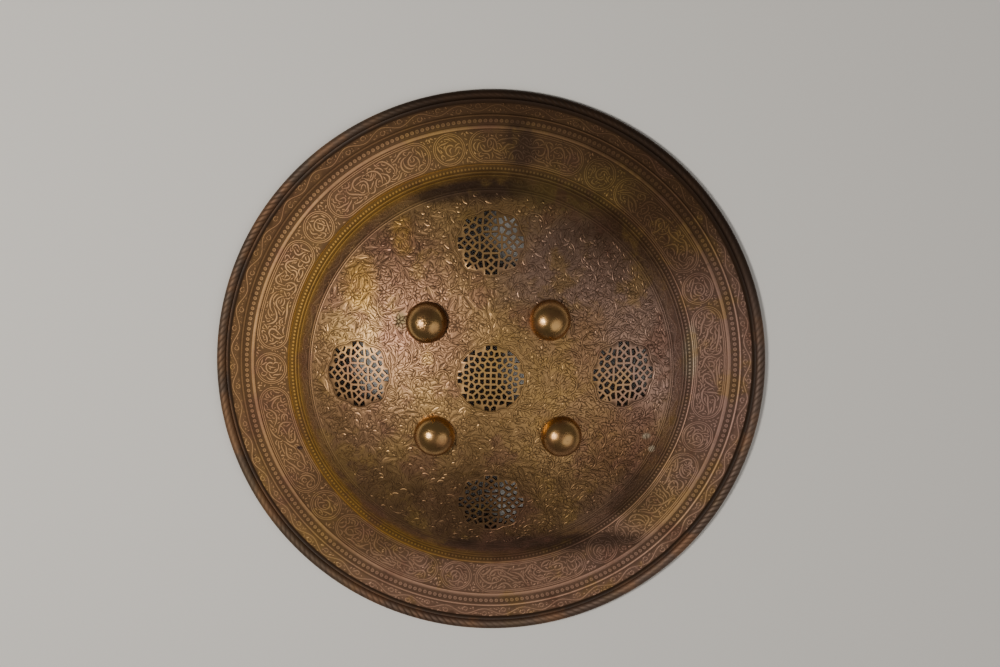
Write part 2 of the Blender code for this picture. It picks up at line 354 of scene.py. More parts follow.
class Relief:
    """The points, lifts, tones and outline edges of one stretch of the sheet's front.

    A tone is 0 in a dark engraved line and 1 on a worn top.
    """

    def __init__(self, ground, base_lift=0.0, base_tone=0.3, height=RELIEF_HEIGHT):
        self.ground = ground
        self.height = height
        self.base_lift = base_lift
        self.base_tone = base_tone
        self.points = []
        self.lifts = []
        self.tones = []
        self.edges = []

    def outline(self, points, lift, tone, closed=True):
        first = len(self.points)
        count = len(points)
        self.points += points
        self.lifts += np.broadcast_to(lift, count).tolist()
        self.tones += [tone] * count
        self.edges += [(first + i, first + i + 1) for i in range(count - 1)]
        if closed:
            self.edges.append((first + count - 1, first))
        return range(first, first + count)

    def point(self, x, y, lift, tone):
        self.points.append((x, y))
        self.lifts.append(lift)
        self.tones.append(tone)

    def raised(self, top, base, lift):
        self.outline(top, lift, 1.0)
        self.outline(base, self.base_lift, self.base_tone)
        self.ground.take(base)

    def leaf(self, root, heading, length, width, bend=0.0, shape=LEAF):
        """One raised leaf, tipped a little to one side, with a soft crest or a cut midrib."""
        guard = leaf_outline(root, heading, length, width, bend, shape, BEVEL + CLEAR)
        if not self.ground.is_free(guard):
            return
        tip = RANDOM.uniform(-LEAF_TILT, LEAF_TILT) * width
        self.raised(
            leaf_outline(root, heading, length, width, bend, shape),
            leaf_outline(root, heading, length, width, bend, shape, BEVEL),
            self.height + tip * signed_breadths(shape),
        )
        if width > MIDRIB_FROM:
            shares, rise, tone = (0.2, 0.5, 0.8), -self.height, 0.35
        else:
            shares, rise, tone = (0.34, 0.68), CREST_HEIGHT, 1.0
        crest = [along_arc(root, heading, length, bend, length * share)[:2] for share in shares]
        self.outline(crest, self.height + rise, tone, closed=False)

    def stem(self, points, widths):
        """An open raised line of these widths, if its place is free."""
        widths = np.asarray(widths, float)
        guard_left, guard_right = path_sides(points, widths + 2 * (BEVEL + CLEAR), False)
        if not self.ground.is_free(guard_left + guard_right[::-1]):
            return False
        left, right = path_sides(points, widths, False)
        base_left, base_right = path_sides(points, widths + 2 * BEVEL, False)
        self.raised(left + right[::-1], base_left + base_right[::-1], self.height)
        return True

    def closed_line(self, points, width=LINE_WIDTH):
        """A raised line round a closed outline, whatever already stands there."""
        same = np.full(len(points), width)
        for grow, height, tone in ((0.0, self.height, 1.0), (2 * BEVEL, self.base_lift, self.base_tone)):
            left, right = path_sides(points, same + grow, True)
            self.outline(left, height, tone)
            self.outline(right, height, tone)
        self.ground.take_line(points, width / 2 + BEVEL + CLEAR / 2)

    def ring(self, heights):
        """Whole circles about the middle: triples of a radius, a lift and a tone."""
        for radius, lift, tone in heights:
            self.outline(circle(radius, CIRCLE_POINTS), lift, tone)

    def ridge(self, inner, width, shoulder, shoulder_lift):
        """A raised ring of the sheet that starts at this inner radius."""
        self.ring(
            (
                (inner, 0.0, 0.2),
                (inner + shoulder, shoulder_lift, 0.8),
                (inner + width / 2, RIDGE_HEIGHT, 1.0),
                (inner + width - shoulder, shoulder_lift, 0.8),
                (inner + width, 0.0, 0.2),
            )
        )

    def ring_line(self, radius, width, lift):
        """A raised line of this width all round the shield."""
        half = width / 2
        self.ring(
            (
                (radius - half - BEVEL, 0.0, self.base_tone),
                (radius - half, lift, 1.0),
                (radius + half, lift, 1.0),
                (radius + half + BEVEL, 0.0, self.base_tone),
            )
        )

    def bead(self, x, y, radius, lift, centre_tone):
        """A small raised disc with a soft middle, ringed by a dark line."""
        self.outline(circle(radius, BEAD_SIDES, x, y), lift, 0.95)
        self.outline(circle(radius + BEVEL, BEAD_SIDES, x, y), self.base_lift, 0.15)
        self.outline(circle(radius * 0.45, 6, x, y), lift * 0.7, centre_tone)
        self.point(x, y, lift * 0.5, centre_tone)


BLADE_BELOW = 5.0
LEAF_SWAY = 0.6


def scatter(relief, leaves, place, heading):
    """Fills what is still free with leaves. Each row of leaves is a length, a width and how many tries."""
    for length, width, tries in leaves:
        for _ in range(tries):
            x, y = place()
            angle = heading(x, y) + RANDOM.gauss(0.0, LEAF_SWAY)
            bend = RANDOM.uniform(-0.9, 0.9)
            scale = RANDOM.uniform(0.85, 1.15)
            shape = BLADE if length < BLADE_BELOW else LEAF if RANDOM.random() < 0.6 else LAPPET
            root = (x - length / 2 * math.cos(angle), y - length / 2 * math.sin(angle))
            relief.leaf(root, angle, length * scale, width * scale, bend, shape)


FLOWER_BEAD_RADIUS = 1.0
FLOWER_BEAD_GUARD = 1.6
FLOWER_PETALS = 7
PETAL_START = 1.7
PETAL_LENGTH = 4.6
PETAL_WIDTH = 2.0


def flower(relief, x, y, first):
    """A small flower of pointed petals round a bead."""
    if not relief.ground.is_free(circle(FLOWER_BEAD_GUARD, BEAD_SIDES, x, y)):
        return
    bead = circle(FLOWER_BEAD_RADIUS, BEAD_SIDES, x, y)
    relief.raised(bead, circle(FLOWER_BEAD_RADIUS + BEVEL, BEAD_SIDES, x, y), relief.height)
    for i in range(FLOWER_PETALS):
        angle = first + TURN * i / FLOWER_PETALS
        relief.leaf(polar(PETAL_START, angle, x, y), angle, PETAL_LENGTH, PETAL_WIDTH)


def spray(relief, root, heading, reach, hand):
    """A curled stem with leaves on both sides and a fan at its end."""
    steps = 9
    bend = hand * RANDOM.uniform(2.0, 3.4)
    points = [along_arc(root, heading, reach, bend, reach * i / steps)[:2] for i in range(steps + 1)]
    if not relief.stem(points, np.linspace(0.75, 0.45, steps + 1)):
        return
    off = 0.4 + 2 * BEVEL + CLEAR + 0.12
    for i in range(1, steps, 2):
        stem_x, stem_y, angle = along_arc(root, heading, reach, bend, reach * i / steps)
        for side in (1, -1):
            turn = angle + side * RANDOM.uniform(0.6, 0.95)
            share = RANDOM.uniform(0.9, 1.3) if side != hand else RANDOM.uniform(0.5, 0.75)
            length = SPRAY_LEAF_LENGTH * share
            foot = (stem_x - side * off * math.sin(angle), stem_y + side * off * math.cos(angle))
            relief.leaf(foot, turn, length, 0.29 * length, -side * 0.6)
    fan_x, fan_y, angle = along_arc(root, heading, reach, bend, reach + off)
    for turn in (0.0, 0.9, -0.9):
        spread = 0.8 * math.sin(turn)
        foot = (fan_x - spread * math.sin(angle), fan_y + spread * math.cos(angle))
        relief.leaf(foot, angle + turn, 0.9 * SPRAY_LEAF_LENGTH, 0.32 * SPRAY_LEAF_LENGTH, 0.3 * hand)


# Pierced rosettes

def mirrored(u, v, swapped):
    """A place of one quarter and its mirror images, across the diagonals too if swapped."""
    quarter = ((u, v), (v, u)) if swapped else ((u, v),)
    signs = ((1, 1), (1, -1), (-1, 1), (-1, -1))
    return sorted({(x_sign * x, y_sign * y) for x, y in quarter for x_sign, y_sign in signs})


def further_middles(middles):
    """Middles of more holes in the widest places between the given ones, alike in all eight parts."""
    steps = np.arange(0.0, LACE_REACH, CELL)
    us, vs = [grid.ravel() for grid in np.meshgrid(steps, steps)]
    inside = (vs <= us) & (np.hypot(us, vs) < LACE_REACH)
    us, vs = us[inside], vs[inside]
    room = np.min([np.hypot(us - u, vs - v) for u, v in middles], axis=0)
    added = []
    while room.max() > HOLE_SPACING:
        widest = int(room.argmax())
        u, v = float(us[widest]), float(vs[widest])
        if v < SNAP:
            v = 0.0
        elif u - v < SNAP:
            u = v = (u + v) / 2
        copies = mirrored(u, v, True)
        room = np.minimum(room, np.min([np.hypot(us - x, vs - y) for x, y in copies], axis=0))
        room[widest] = 0.0
        added += copies
    return added


def cut_off(polygon, x, y, normal_x, normal_y):
    """The part of a convex polygon behind the line through this point."""
    kept = []
    for (x0, y0), (x1, y1) in zip(polygon, polygon[1:] + polygon[:1]):
        start = (x0 - x) * normal_x + (y0 - y) * normal_y
        end = (x1 - x) * normal_x + (y1 - y) * normal_y
        if start <= 0:
            kept.append((x0, y0))
        if (start <= 0) != (end <= 0):
            share = start / (start - end)
            kept.append((x0 + share * (x1 - x0), y0 + share * (y1 - y0)))
    return kept


def lace_outlines(lace):
    """Every hole of a rosette: all the room nearer to its middle than to another, less the straps."""
    middles = []
    for x, y, swapped in lace:
        middles += mirrored(x * ROSETTE_RADIUS, y * ROSETTE_RADIUS, swapped)
    middles += further_middles(middles)
    outlines = []
    for u, v in middles:
        radius = math.hypot(u, v)
        hole = circle(HOLE_CORNERS, HOLE_SIDES, u, v)
        if radius > HOLE_REACH:
            edge_of_lobes = LOBE_MIDDLE + LOBE_DEPTH * math.cos(LOBES * math.atan2(v, u))
            top = min(radius + HOLE_REACH, edge_of_lobes * ROSETTE_RADIUS) / radius
            hole = cut_off(hole, u * top, v * top, u / radius, v / radius)
        for other_u, other_v in middles:
            apart = math.hypot(other_u - u, other_v - v)
            if 0.01 < apart < NEIGHBOUR_REACH:
                across_u, across_v = (other_u - u) / apart, (other_v - v) / apart
                edge = (apart - STRAP_WIDTH) / 2
                hole = cut_off(hole, u + edge * across_u, v + edge * across_v, across_u, across_v)
        corners = []
        for corner in hole:
            if math.dist(corner, corners[-1] if corners else hole[-1]) > LEAST_SIDE:
                corners.append(corner)
        spans = np.ptp(np.array(corners), axis=0) if len(corners) > 2 else (0.0, 0.0)
        if min(spans) > LEAST_HOLE:
            outlines.append(corners)
    return outlines


def standing_frame(x, y, degrees=0.0):
    """Origin on the dome's front at this plan place, and the turn that sets Z square to it."""
    normal = Vector((x, y, math.sqrt(DOME_SPHERE_RADIUS**2 - x * x - y * y))).normalized()
    turn = Quaternion((0.0, 0.0, 1.0), math.radians(degrees))
    origin = Vector((x, y, CROWN_HEIGHT - float(dome_drop(math.hypot(x, y)))))
    return origin, Vector((0.0, 0.0, 1.0)).rotation_difference(normal) @ turn


def on_dome_front(origin, turn, u, v):
    """The plan place where a line square to the rosette's plane at (u, v) meets the dome's front."""
    start = origin + turn @ Vector((u, v, 0.0))
    down = turn @ Vector((0.0, 0.0, -1.0))
    centre = Vector((0.0, 0.0, CROWN_HEIGHT - DOME_SPHERE_RADIUS))
    offset = start - centre
    along = offset.dot(down)
    distance = -along - math.sqrt(along * along - offset.length_squared + DOME_SPHERE_RADIUS**2)
    place = start + down * distance
    return (place.x, place.y)


def grown(outline, margin):
    """A convex outline, moved outwards from its middle."""
    middle = np.mean(outline, axis=0)
    corners = np.array(outline) - middle
    reach = np.hypot(corners[:, 0], corners[:, 1])[:, None]
    return (middle + corners * (1 + margin / reach)).tolist()


def edging_reach(outlines, angle):
    """The radius of a line that hugs the outermost corners of the holes, in points between them."""
    reach = 0.0
    for outline in outlines:
        for u, v in outline:
            radius = math.hypot(u, v)
            apart = abs(math.remainder(math.atan2(v, u) - angle, TURN))
            reach = max(reach, radius + EDGING_MARGIN - EDGING_FALL * apart * radius)
    return reach


CROWN_HOLES = lace_outlines(CROWN_LACE)
SIDE_HOLES = lace_outlines(SIDE_LACE)


def pierce_rosette(relief, side_x, side_y, degrees):
    """Adds one rosette's holes with their bevels and its edging line. Returns its holes for the wall."""
    x, y = side_x * ROSETTE_PLACE_RADIUS, side_y * ROSETTE_PLACE_RADIUS
    origin, turn = standing_frame(x, y, degrees)
    down = turn @ Vector((0.0, 0.0, -WALL))
    outlines = SIDE_HOLES if side_x or side_y else CROWN_HOLES
    edging = []
    for i in range(EDGING_POINTS):
        angle = TURN * i / EDGING_POINTS
        edging.append(on_dome_front(origin, turn, *polar(edging_reach(outlines, angle), angle)))
    usual = relief.height
    relief.height = EDGING_HEIGHT
    relief.closed_line(edging, EDGING_WIDTH)
    relief.height = usual
    relief.ground.take(edging)
    holes = []
    for outline in outlines:
        edge = relief.outline([on_dome_front(origin, turn, u, v) for u, v in outline], 0.0, 0.35)
        bevelled = grown(outline, STRAP_BEVEL)
        relief.outline([on_dome_front(origin, turn, u, v) for u, v in bevelled], STRAP_LIFT, 1.0)
        holes.append((edge, down))
    return holes


def pierce_shank(relief, x, y):
    """Adds the hole of one boss's shank. Returns it for the wall."""
    origin, turn = standing_frame(x, y)
    radius = SHANK_RADIUS + SHANK_CLEARANCE
    outline = [on_dome_front(origin, turn, u, v) for u, v in circle(radius, SHANK_SIDES)]
    return relief.outline(outline, 0.0, 0.3), turn @ Vector((0.0, 0.0, -WALL))


# Turning plan drawings into meshes

def triangulate(points, edges):
    """Triangles through all these points and along all these edges, and each new point's old ones."""
    vectors = [Vector(point) for point in points]
    verts, _, faces, origins, _, _ = delaunay_2d_cdt(vectors, edges, [], 0, 0.0005, True)
    return np.array([tuple(v) for v in verts]), np.array(faces), origins


def outside_loops(faces, loops, went_to):
    """The triangles that fill none of these loops, which hold no points of their own."""
    label = np.zeros(faces.max() + 1, int)
    for number, loop in enumerate(loops, 1):
        for old in loop:
            label[went_to[old]] = number
    first, second, third = label[faces].T
    return faces[(first == 0) | (first != second) | (second != third)]


def triangulate_relief(relief, voids):
    """The front's points in plan, their lifts and tones, its triangles and where each point went."""
    plan, faces, origins = triangulate(relief.points, relief.edges)
    made = np.full((len(plan), 2), np.nan)
    went_to = {}
    for i, olds in enumerate(origins):
        for old in olds:
            went_to[old] = i
        if olds:
            made[i] = max((relief.lifts[old], relief.tones[old]) for old in olds)
    for i in np.nonzero(np.isnan(made[:, 0]))[0]:
        near = faces[(faces == i).any(axis=1)].ravel()
        known = made[near][~np.isnan(made[near, 0])]
        made[i] = known.mean(axis=0) if len(known) else (0.0, relief.base_tone)
    return plan, made[:, 0], made[:, 1], outside_loops(faces, voids, went_to), went_to


class Solid:
    """Vertices, faces and the relief value of a mesh in the making."""

    def __init__(self):
        self.blocks = []
        self.values = []
        self.faces = []
        self.count = 0

    def add_points(self, points, values):
        first = self.count
        points = np.asarray(points, float)
        self.blocks.append(points)
        self.values.append(np.broadcast_to(values, len(points)))
        self.count += len(points)
        return first

    def add_faces(self, faces):
        self.faces += faces

    def bridge(self, upper, lower):
        """A wall between two closed loops of as many vertices."""
        count = len(upper)
        for i in range(count):
            j = (i + 1) % count
            self.faces.append((upper[i], lower[i], lower[j], upper[j]))

    def make(self, name, node, material, sharp_degrees=32):
        mesh = bpy.data.meshes.new(name)
        points = np.concatenate(self.blocks) * MM
        mesh.from_pydata(points.tolist(), [], self.faces)
        mesh.validate()
        attribute = mesh.attributes.new("relief", "FLOAT", "POINT")
        attribute.data.foreach_set("value", np.concatenate(self.values).astype(np.float32))
        mesh.materials.append(material)
        mesh.shade_smooth()
        mesh.set_sharp_from_angle(angle=math.radians(sharp_degrees))
        piece = bpy.data.objects.new(name, mesh)
        bpy.context.scene.collection.objects.link(piece)
        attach(piece, "root")
        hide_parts(node)
        return piece


BACK_TONE = 0.5


def front_of(relief, voids, solid):
    """Adds a relief's front to the solid and returns where each of its first points went."""
    plan, lifts, tones, faces, went_to = triangulate_relief(relief, voids)
    first = solid.add_points(lay_on_sheet(plan, lifts), tones)
    solid.add_faces((faces + first).tolist())
    return {old: new + first for old, new in went_to.items()}


def back_loop(solid, radius, count):
    """A circle of the underside, square below the front's circle at this radius."""
    points = lay_on_sheet(circle(radius, count), -WALL)
    start = solid.add_points(points, BACK_TONE)
    return list(range(start, start + count))


# The relief of each band

def swirl_centres(spacing, reach):
    """Places about which the leaves of the dome curl, on a shaken grid of triangles."""
    centres = []
    rows = int(reach / (spacing * 0.87)) + 1
    for row in range(-rows, rows + 1):
        for column in range(-rows, rows + 1):
            x = (column + 0.5 * (row % 2)) * spacing + RANDOM.uniform(-0.16, 0.16) * spacing
            y = row * spacing * 0.87 + RANDOM.uniform(-0.16, 0.16) * spacing
            if math.hypot(x, y) < reach:
                centres.append((x, y, RANDOM.choice((-1, 1))))
    return centres


DOME_LEAVES = (
    (13.0, 3.2, 1500),
    (10.0, 2.6, 2500),
    (8.0, 2.1, 3500),
    (6.2, 1.7, 5000),
    (4.8, 1.4, 7000),
    (3.6, 1.15, 8000),
    (2.6, 0.95, 6000),
)
DOME_LINE_DEPTH = 0.10
DOME_LEAF_HEIGHT = 0.13
DOME_GROUND_TONE = 0.85
SWIRL_SPACING = 25.0
SWIRL_MARGIN = 6.0
SPRAY_START = 6.8
SPRAY_TURNS = (0.0, 2.1, 4.2)
SPRAY_LEAF_LENGTH = 7.0


def dome_relief(ground):
    """The dome's all-over leaf scrolls, cut round with dark lines, its rosettes and shank holes."""
    relief = Relief(ground, -DOME_LINE_DEPTH, 0.0, DOME_LEAF_HEIGHT)
    edge = relief.outline(circle(DOME_RADIUS, CIRCLE_POINTS), 0.0, 0.4)
    ground.take_rings(((DOME_RADIUS - 0.5, RIM_RADIUS),))
    holes = [hole for rosette in ROSETTES for hole in pierce_rosette(relief, *rosette)]
    for x, y in BOSS_PLACES.values():
        holes.append(pierce_shank(relief, x, y))
        ground.take(circle(BOSS_RADIUS - 1.0, 40, x, y))
    centres = swirl_centres(SWIRL_SPACING, DOME_RADIUS - SWIRL_MARGIN)
    spots = np.array(centres)

    def heading(x, y):
        distances = np.hypot(spots[:, 0] - x, spots[:, 1] - y)
        centre_x, centre_y, hand = spots[int(np.argmin(distances))]
        around = math.atan2(y - centre_y, x - centre_x)
        return around + hand * (math.pi / 2 + 0.5)

    def place():
        return polar((DOME_RADIUS - 1.0) * math.sqrt(RANDOM.random()), RANDOM.uniform(0.0, TURN))

    for x, y, hand in centres:
        start = RANDOM.uniform(0.0, TURN)
        flower(relief, x, y, start)
        for turn in SPRAY_TURNS:
            angle = start + turn + RANDOM.uniform(-0.3, 0.3)
            root = polar(SPRAY_START, angle, x, y)
            spray(relief, root, angle - 0.5 * hand, RANDOM.uniform(16.0, 26.0), hand)
    scatter(relief, DOME_LEAVES, place, heading)
    for x, y in ground.open_points(GROUND_SPACING, 0.0, DOME_RADIUS - 1.0):
        relief.point(x, y, 0.0, DOME_GROUND_TONE)
    return relief, edge, holes


def in_band(angle, u, v, middle):
    """A place of a band: u millimetres clockwise from this angle, and v outwards from its middle."""
    return polar(middle + v, angle - u / middle)


def band_heading(angle, u, middle, direction):
    """The plan heading of a direction in the band, measured from clockwise towards outwards."""
    return angle - u / middle - math.pi / 2 + direction


def band_leaf(relief, angle, u, v, middle, direction, length, width, bend=0.0):
    root = in_band(angle, u, v, middle)
    relief.leaf(root, band_heading(angle, u, middle, direction), length, width, bend, BLADE)


VINE_WIDTH = 0.7
VINE_POINTS_PER_WAVE = 14
VINE_CURL_POINTS = 8
VINE_FILL_TRIES = 90


def vine_band(relief, middle, swing, waves, phase):
    """A wave of vine round the shield with a curl, a leaf and two small leaves in each bend."""
    per_wave = VINE_POINTS_PER_WAVE
    angles = [TURN * i / (waves * per_wave) for i in range(waves * per_wave)]
    points = [polar(middle + swing * math.sin(waves * angle + phase), angle) for angle in angles]
    relief.closed_line(points, VINE_WIDTH)
    for i in range(2 * waves):
        angle = (math.pi * (i + 0.5) - phase) / waves
        outer = 1 if i % 2 == 0 else -1
        curl_v = -outer * (swing - 0.2)
        curl = []
        for k in range(VINE_CURL_POINTS):
            turn = -outer * (0.3 + k * 0.72)
            radius = 2.15 - 0.12 * k
            curl_u = radius * math.cos(turn)
            curl.append(in_band(angle, curl_u, curl_v + outer * 0.9 + radius * math.sin(turn), middle))
        relief.stem(curl, np.linspace(0.75, 0.5, len(curl)))
        band_leaf(relief, angle, -0.4, curl_v + outer * 0.8, middle, 0.5, 1.7, 0.9)
        for side in (-1, 1):
            turn = outer * (math.pi / 2 + 0.5 * side)
            band_leaf(relief, angle, side * 3.1, curl_v, middle, turn, 3.0, 1.2)
    for _ in range(waves * VINE_FILL_TRIES):
        angle = RANDOM.uniform(0.0, TURN)
        v = RANDOM.uniform(-swing - 1.6, swing + 1.6)
        length = RANDOM.choice((3.2, 2.4, 1.8))
        band_leaf(relief, angle, 0.0, v, middle, RANDOM.uniform(0.0, TURN), length, 0.36 * length, 0.4)


MEDALLIONS = 9
FIRST_ROUNDEL = math.radians(180.7)
ROUNDEL_SPAN = math.radians(8.8)
CARTOUCHE_SPAN = math.radians(29.8)
OUTLINE_INSETS = (0.0, 1.5)
STROKES = ((20.0, 1.35, 90), (14.0, 1.25, 200), (9.0, 1.1, 350), (5.5, 1.0, 450), (3.6, 0.9, 450))
ROW_OFFSET = 5.0
ROUNDEL_STROKES = ((9.0, 60), (6.0, 140), (4.0, 160))
ROUNDEL_STROKE_WIDTH = 1.05
ROUNDEL_CURL_POINTS = 14
ROUNDEL_SIDES = 44
CARTOUCHE_END_POINTS = 14
MEDALLION_MARGIN = 0.9
FILL_MARGIN = 0.7


def stadium(half_length, half_height, per_end):
    """A long outline with round ends, from the middle of its lower side."""
    straight = half_length - half_height
    steps = max(2, int(straight / 2.0))
    lower = [(-straight + 2 * straight * i / steps, -half_height) for i in range(steps)]
    right_turns = np.linspace(-math.pi / 2, math.pi / 2, per_end)[:-1]
    right = [polar(half_height, turn, straight) for turn in right_turns]
    upper = [(straight - 2 * straight * i / steps, half_height) for i in range(steps)]
    left_turns = np.linspace(math.pi / 2, 1.5 * math.pi, per_end)[:-1]
    left = [polar(half_height, turn, -straight) for turn in left_turns]
    return lower + right + upper + left


def flourish(relief, angle, middle, u, v, length, width):
    """A sinuous stroke that swells in its middle, if its place is free."""
    steps = 8
    direction = RANDOM.uniform(0.0, TURN)
    curl = RANDOM.uniform(-3.4, 3.4)
    sway = RANDOM.uniform(-0.7, 0.7)
    points, widths = [], []
    for i in range(steps + 1):
        share = i / steps
        points.append(in_band(angle, u, v, middle))
        widths.append(width * (0.3 + 0.7 * math.sin(math.pi * share)))
        heading = direction + curl * share + sway * math.sin(TURN * share)
        u += length / steps * math.cos(heading)
        v += length / steps * math.sin(heading)
    relief.stem(points, widths)


def roundel(relief, angle, middle, half_height):
    """A round medallion: double outline, a large curl, and sinuous strokes round it."""
    for inset in OUTLINE_INSETS:
        outline = circle(half_height - inset, ROUNDEL_SIDES)
        relief.closed_line([in_band(angle, u, v, middle) for u, v in outline])
    first = RANDOM.uniform(0.0, TURN)
    hand = RANDOM.choice((-1, 1))
    curl = []
    for i in range(ROUNDEL_CURL_POINTS):
        radius = 6.6 - 0.28 * i
        turn = first + hand * 0.42 * i
        curl.append(in_band(angle, 1.5 + radius * math.cos(turn), radius * math.sin(turn), middle))
    relief.stem(curl, np.linspace(0.6, 1.3, len(curl)))
    for length, tries in ROUNDEL_STROKES:
        for _ in range(tries):
            u, v = polar((half_height - 3.0) * math.sqrt(RANDOM.random()), RANDOM.uniform(0.0, TURN))
            flourish(relief, angle, middle, u, v, length, ROUNDEL_STROKE_WIDTH)


def cartouche(relief, angle, middle, half_height, half_length):
    """A long medallion: double outline, and rows of sinuous strokes that aren't letters."""
    for inset in OUTLINE_INSETS:
        outline = stadium(half_length - inset, half_height - inset, CARTOUCHE_END_POINTS)
        relief.closed_line([in_band(angle, u, v, middle) for u, v in outline])
    for length, width, tries in STROKES:
        for _ in range(tries):
            u = RANDOM.uniform(3.0 - half_length, half_length - 3.0)
            v = RANDOM.choice((-ROW_OFFSET, ROW_OFFSET)) + RANDOM.gauss(0.0, 2.5)
            flourish(relief, angle, middle, u, v, length, width)


def medallion_band(relief):
    """Roundels and cartouches by turns, with small leaves at their meetings and in between."""
    middle = (INNER_RIDGE_RADIUS + MEDALLION_BAND_RADIUS) / 2
    half_height = MEDALLION_BAND_WIDTH / 2 - MEDALLION_MARGIN
    period = TURN / MEDALLIONS
    for k in range(MEDALLIONS):
        angle = FIRST_ROUNDEL - k * period
        roundel(relief, angle, middle, min(half_height, ROUNDEL_SPAN * middle / 2))
        between = angle - period / 2
        cartouche(relief, between, middle, half_height, CARTOUCHE_SPAN * middle / 2)
        for side in (-1, 1):
            for outer in (-1, 1):
                u = side * ROUNDEL_SPAN * middle / 2
                for turn, length in ((0.0, 4.4), (0.9, 3.4), (-0.9, 3.4)):
                    band_leaf(relief, angle, u + 0.9 * math.sin(turn), outer * (half_height - 0.3), middle,
                              -outer * math.pi / 2 + turn, length, 1.4)
    fill_band(relief, INNER_RIDGE_RADIUS + FILL_MARGIN, MEDALLION_BAND_RADIUS - FILL_MARGIN)


BAND_LEAVES = ((3.8, 1.3, 4000), (3.0, 1.1, 6000), (2.3, 0.9, 7000))


def fill_band(relief, inner, outer):
    """Small leaves in whatever is still free between two radii."""

    def place():
        return polar(RANDOM.uniform(inner, outer), RANDOM.uniform(0.0, TURN))

    def heading(x, y):
        return math.atan2(y, x) + 0.8 * math.sin(0.35 * (x + 0.7 * y)) + RANDOM.choice((0.6, -1.4, 2.5))

    scatter(relief, BAND_LEAVES, place, heading)


def bead_row(relief, radius, pitch, bead_radius, lift, centre_tone):
    """Beads side by side all round the shield."""
    count = round(TURN * radius / pitch)
    for x, y in circle(radius, count):
        relief.bead(x, y, bead_radius, lift, centre_tone)


GOLD_ROW_RADIUS = 166.0
FOOT_LINE_RADII = (163.2, 160.6)
FOOT_VINE_RADIUS = 155.6
DOME_LINE_RADII = (151.2, 149.5)
RING_LINE_WIDTH = 0.5
RING_LINE_HEIGHT = 0.16
FOOT_VINE_HEIGHT = 0.12
FOOT_VINE_TONE = 0.55
MEDALLION_HEIGHT = 0.2
MEDALLION_TONE = 0.3

# Pitch, radius, lift and tone of a row's beads, and swing, number and phase of a vine's waves
GOLD_BEADS = (3.0, 0.8, 0.06, 0.8)
BRIM_BEADS = (4.4, 1.5, 0.14, 0.5)
FOOT_VINE = (2.0, 34, 0.4)
BORDER_VINE = (2.6, 41, 1.1)


def brim_relief(ground):
    """From the dome's edge to the outer side of the middle ridge."""
    relief = Relief(ground, 0.0, 0.25)
    inner = relief.outline(circle(DOME_RADIUS, CIRCLE_POINTS), 0.0, 0.2)
    outer = relief.outline(circle(MIDDLE_RIDGE_RADIUS, CIRCLE_POINTS), 0.0, 0.2)
    for radius in DOME_LINE_RADII + FOOT_LINE_RADII:
        relief.ring_line(radius, RING_LINE_WIDTH, RING_LINE_HEIGHT)
    relief.ridge(BRIM_INNER_RADIUS, INNER_RIDGE_WIDTH, 0.4, 0.6 * RIDGE_HEIGHT)
    relief.ring(
        (
            (MEDALLION_BAND_RADIUS, 0.0, 0.2),
            (MEDALLION_BAND_RADIUS + 0.4, 0.75 * RIDGE_HEIGHT, 0.9),
            (MEDALLION_BAND_RADIUS + 0.95, RIDGE_HEIGHT, 1.0),
            (MIDDLE_RIDGE_RADIUS - 0.95, RIDGE_HEIGHT, 1.0),
            (MIDDLE_RIDGE_RADIUS - 0.4, 0.75 * RIDGE_HEIGHT, 0.9),
        )
    )
    ground.take_rings(
        (
            (DOME_RADIUS, DOME_LINE_RADII[0] + 0.8),
            (FOOT_LINE_RADII[1] - 0.8, INNER_RIDGE_RADIUS + 0.3),
            (MEDALLION_BAND_RADIUS - 0.3, RIM_RADIUS),
        )
    )
    bead_row(relief, GOLD_ROW_RADIUS, *GOLD_BEADS)
    relief.height, relief.base_tone = FOOT_VINE_HEIGHT, FOOT_VINE_TONE
    vine_band(relief, FOOT_VINE_RADIUS, *FOOT_VINE)
    relief.height, relief.base_tone = MEDALLION_HEIGHT, MEDALLION_TONE
    medallion_band(relief)
    return relief, inner, outer


def rim_relief(ground):
    """From the outer side of the middle ridge to the rolled rim."""
    relief = Relief(ground, 0.0, 0.38, 0.16)
    inner = relief.outline(circle(MIDDLE_RIDGE_RADIUS, RIM_POINTS), 0.0, 0.3)
    outer = relief.outline(circle(BRIM_OUTER_RADIUS, RIM_POINTS), 0.0, 0.0)
    relief.ridge(BEAD_BAND_RADIUS, OUTER_RIDGE_WIDTH, 0.45, 0.7 * RIDGE_HEIGHT)
    ground.take_rings(
        (
            (MIDDLE_RIDGE_RADIUS, OUTER_RIDGE_RADIUS + 0.5),
            (BRIM_OUTER_RADIUS - 0.5, RIM_RADIUS),
        )
    )
    bead_row(relief, (MIDDLE_RIDGE_RADIUS + BEAD_BAND_RADIUS) / 2, *BRIM_BEADS)
    vine_band(relief, (OUTER_RIDGE_RADIUS + BRIM_OUTER_RADIUS) / 2, *BORDER_VINE)
    return relief, inner, outer


# The pieces of the sheet

BACK_CIRCLES = ((125.0, 90), (100.0, 72), (75.0, 60), (50.0, 48), (32.0, 30))
BRIM_BACK_RADII = (MIDDLE_RIDGE_RADIUS, 185.0, BRIM_INNER_RADIUS, 163.5, 158.5, 153.5, DOME_RADIUS)


